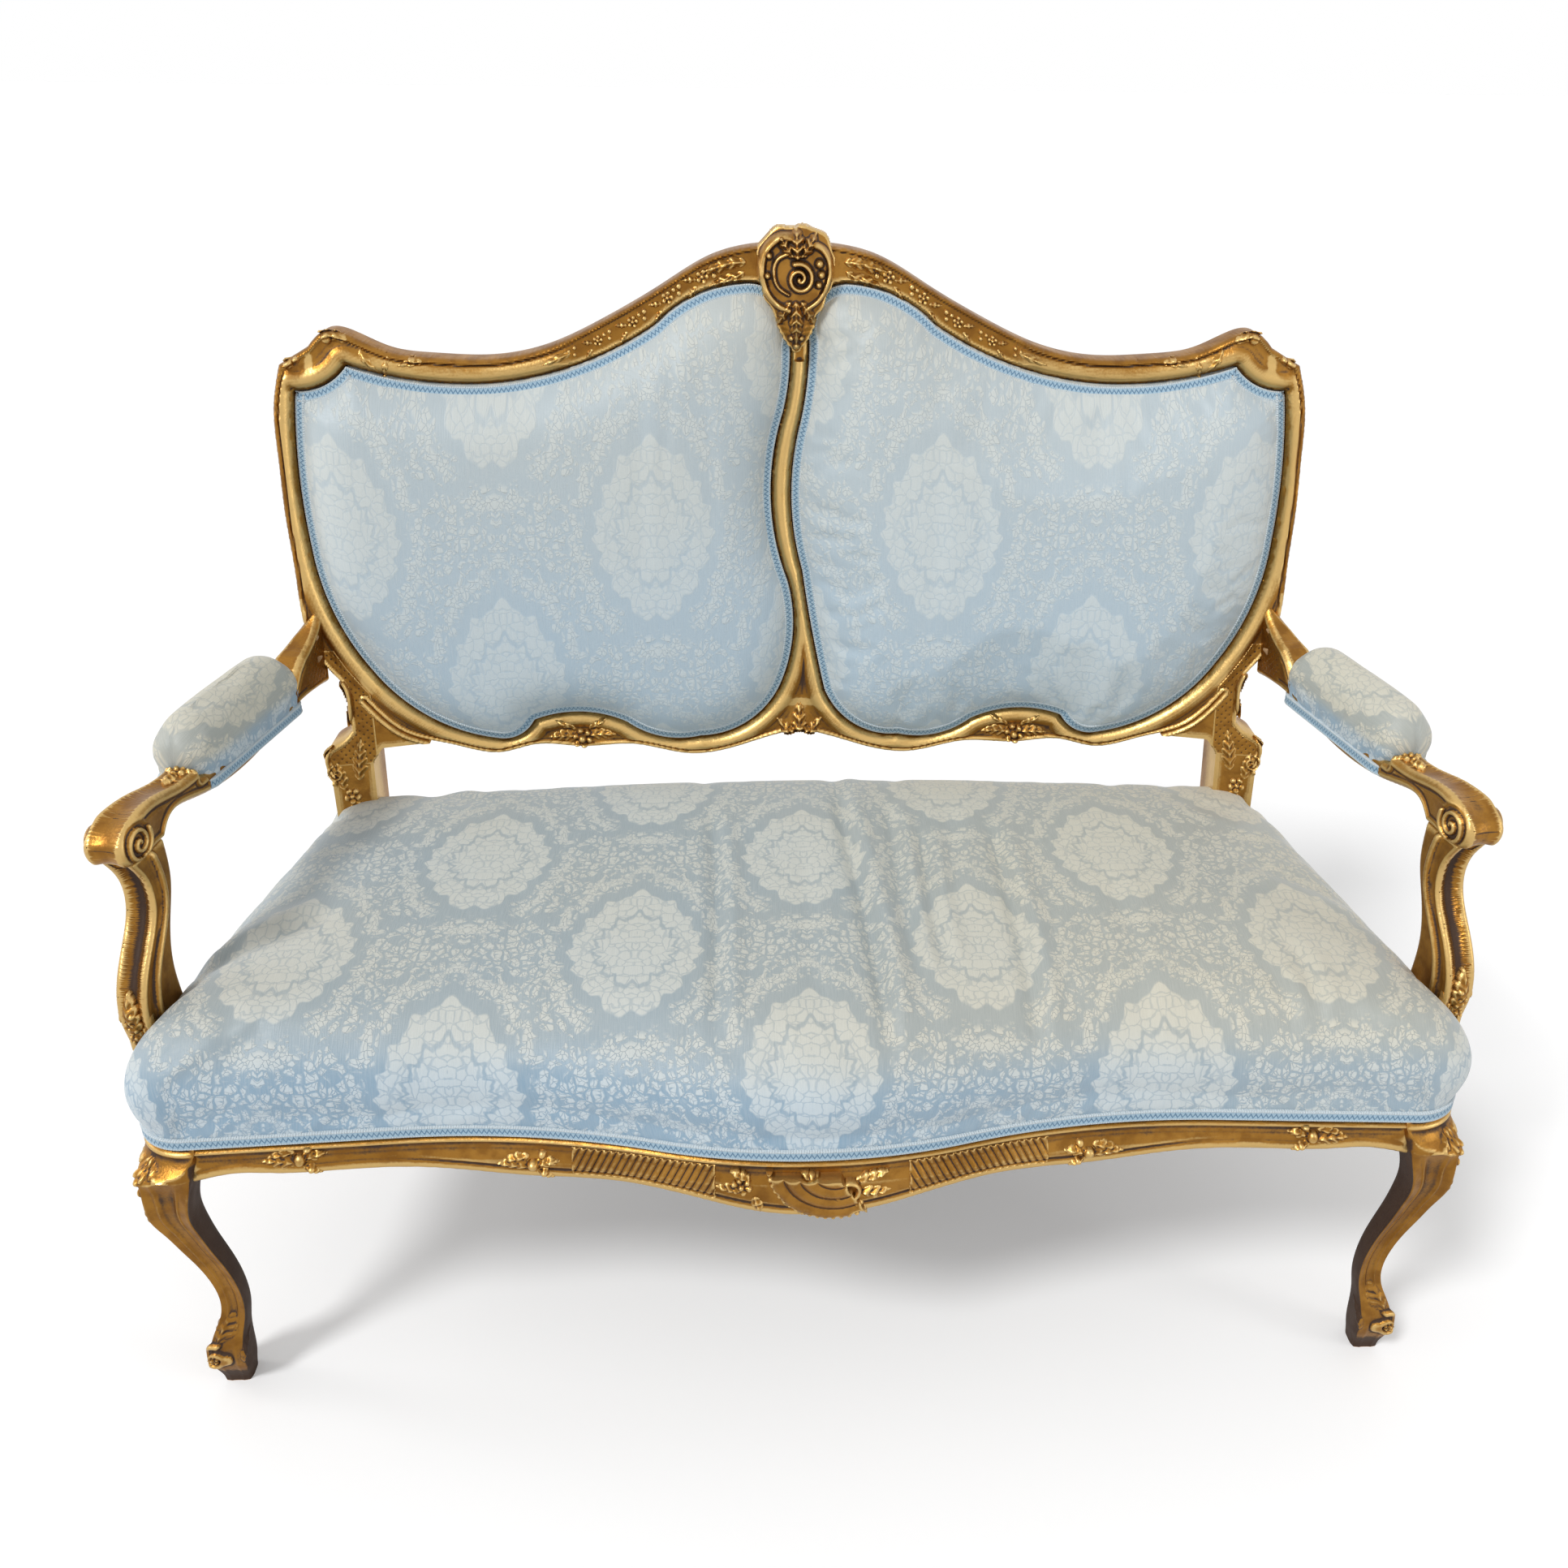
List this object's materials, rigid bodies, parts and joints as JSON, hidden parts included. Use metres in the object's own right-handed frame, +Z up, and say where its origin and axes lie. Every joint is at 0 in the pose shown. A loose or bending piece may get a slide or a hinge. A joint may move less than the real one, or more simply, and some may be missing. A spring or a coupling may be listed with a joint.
{
  "type": "cabriole sofa",
  "caption": "Giltwood settee with a serpentine double panel back, padded open arms, sprung seat and cabriole legs.",
  "frame": {"origin": "middle of the settee's footprint box on the floor", "axes": "+X along the settee, to the right as seen from the front, -Y to the front of the seat, +Z up"},
  "size_m": [1.3334, 0.7044, 1.0791],
  "materials": {
    "giltwood": "antique gilding over gesso on carved beech, worn to brown in the recesses",
    "damask": "satin damask, ivory figure on a pale blue ground",
    "gimp": "woven braid, light blue with a darker zigzag and pale edges",
    "stuffing": "horsehair and cotton wadding",
    "hessian": "coarse jute",
    "dust_cloth": "thin black cotton",
    "beech": "plain unfinished beech",
    "spring_steel": "dull steel wire",
    "screw_steel": "plain steel"
  },
  "bodies": {
    "root": {"crest_rail": "giltwood", "crest_cartouche": "giltwood", "centre_stile": "giltwood", "bottom_rail_left": "giltwood", "bottom_rail_right": "giltwood", "rear_leg_left": "giltwood", "rear_leg_right": "giltwood", "arm_left": "giltwood", "arm_right": "giltwood", "arm_support_left": "giltwood", "arm_support_right": "giltwood", "front_rail": "giltwood", "apron_shell": "giltwood", "side_rail_left": "giltwood", "side_rail_right": "giltwood", "rear_rail": "giltwood", "front_leg_left": "giltwood", "front_leg_right": "giltwood", "seat_cover": "damask", "back_cover_left": "damask", "back_cover_right": "damask", "arm_cover_left": "damask", "arm_cover_right": "damask", "outside_back_left": "damask", "outside_back_right": "damask", "seat_gimp": "gimp", "back_gimp_left": "gimp", "back_gimp_right": "gimp", "arm_gimp_left": "gimp", "arm_gimp_right": "gimp", "seat_stuffing": "stuffing", "back_stuffing_left": "stuffing", "back_stuffing_right": "stuffing", "arm_pad_left": "stuffing", "arm_pad_right": "stuffing", "seat_hessian": "hessian", "back_hessian_left": "hessian", "back_hessian_right": "hessian", "seat_webbing": "hessian", "dust_cover": "dust_cloth", "corner_blocks": "beech", "seat_brace": "beech", "dowels": "beech", "seat_springs": "spring_steel", "block_screws": "screw_steel"}
  },
  "joints": []
}
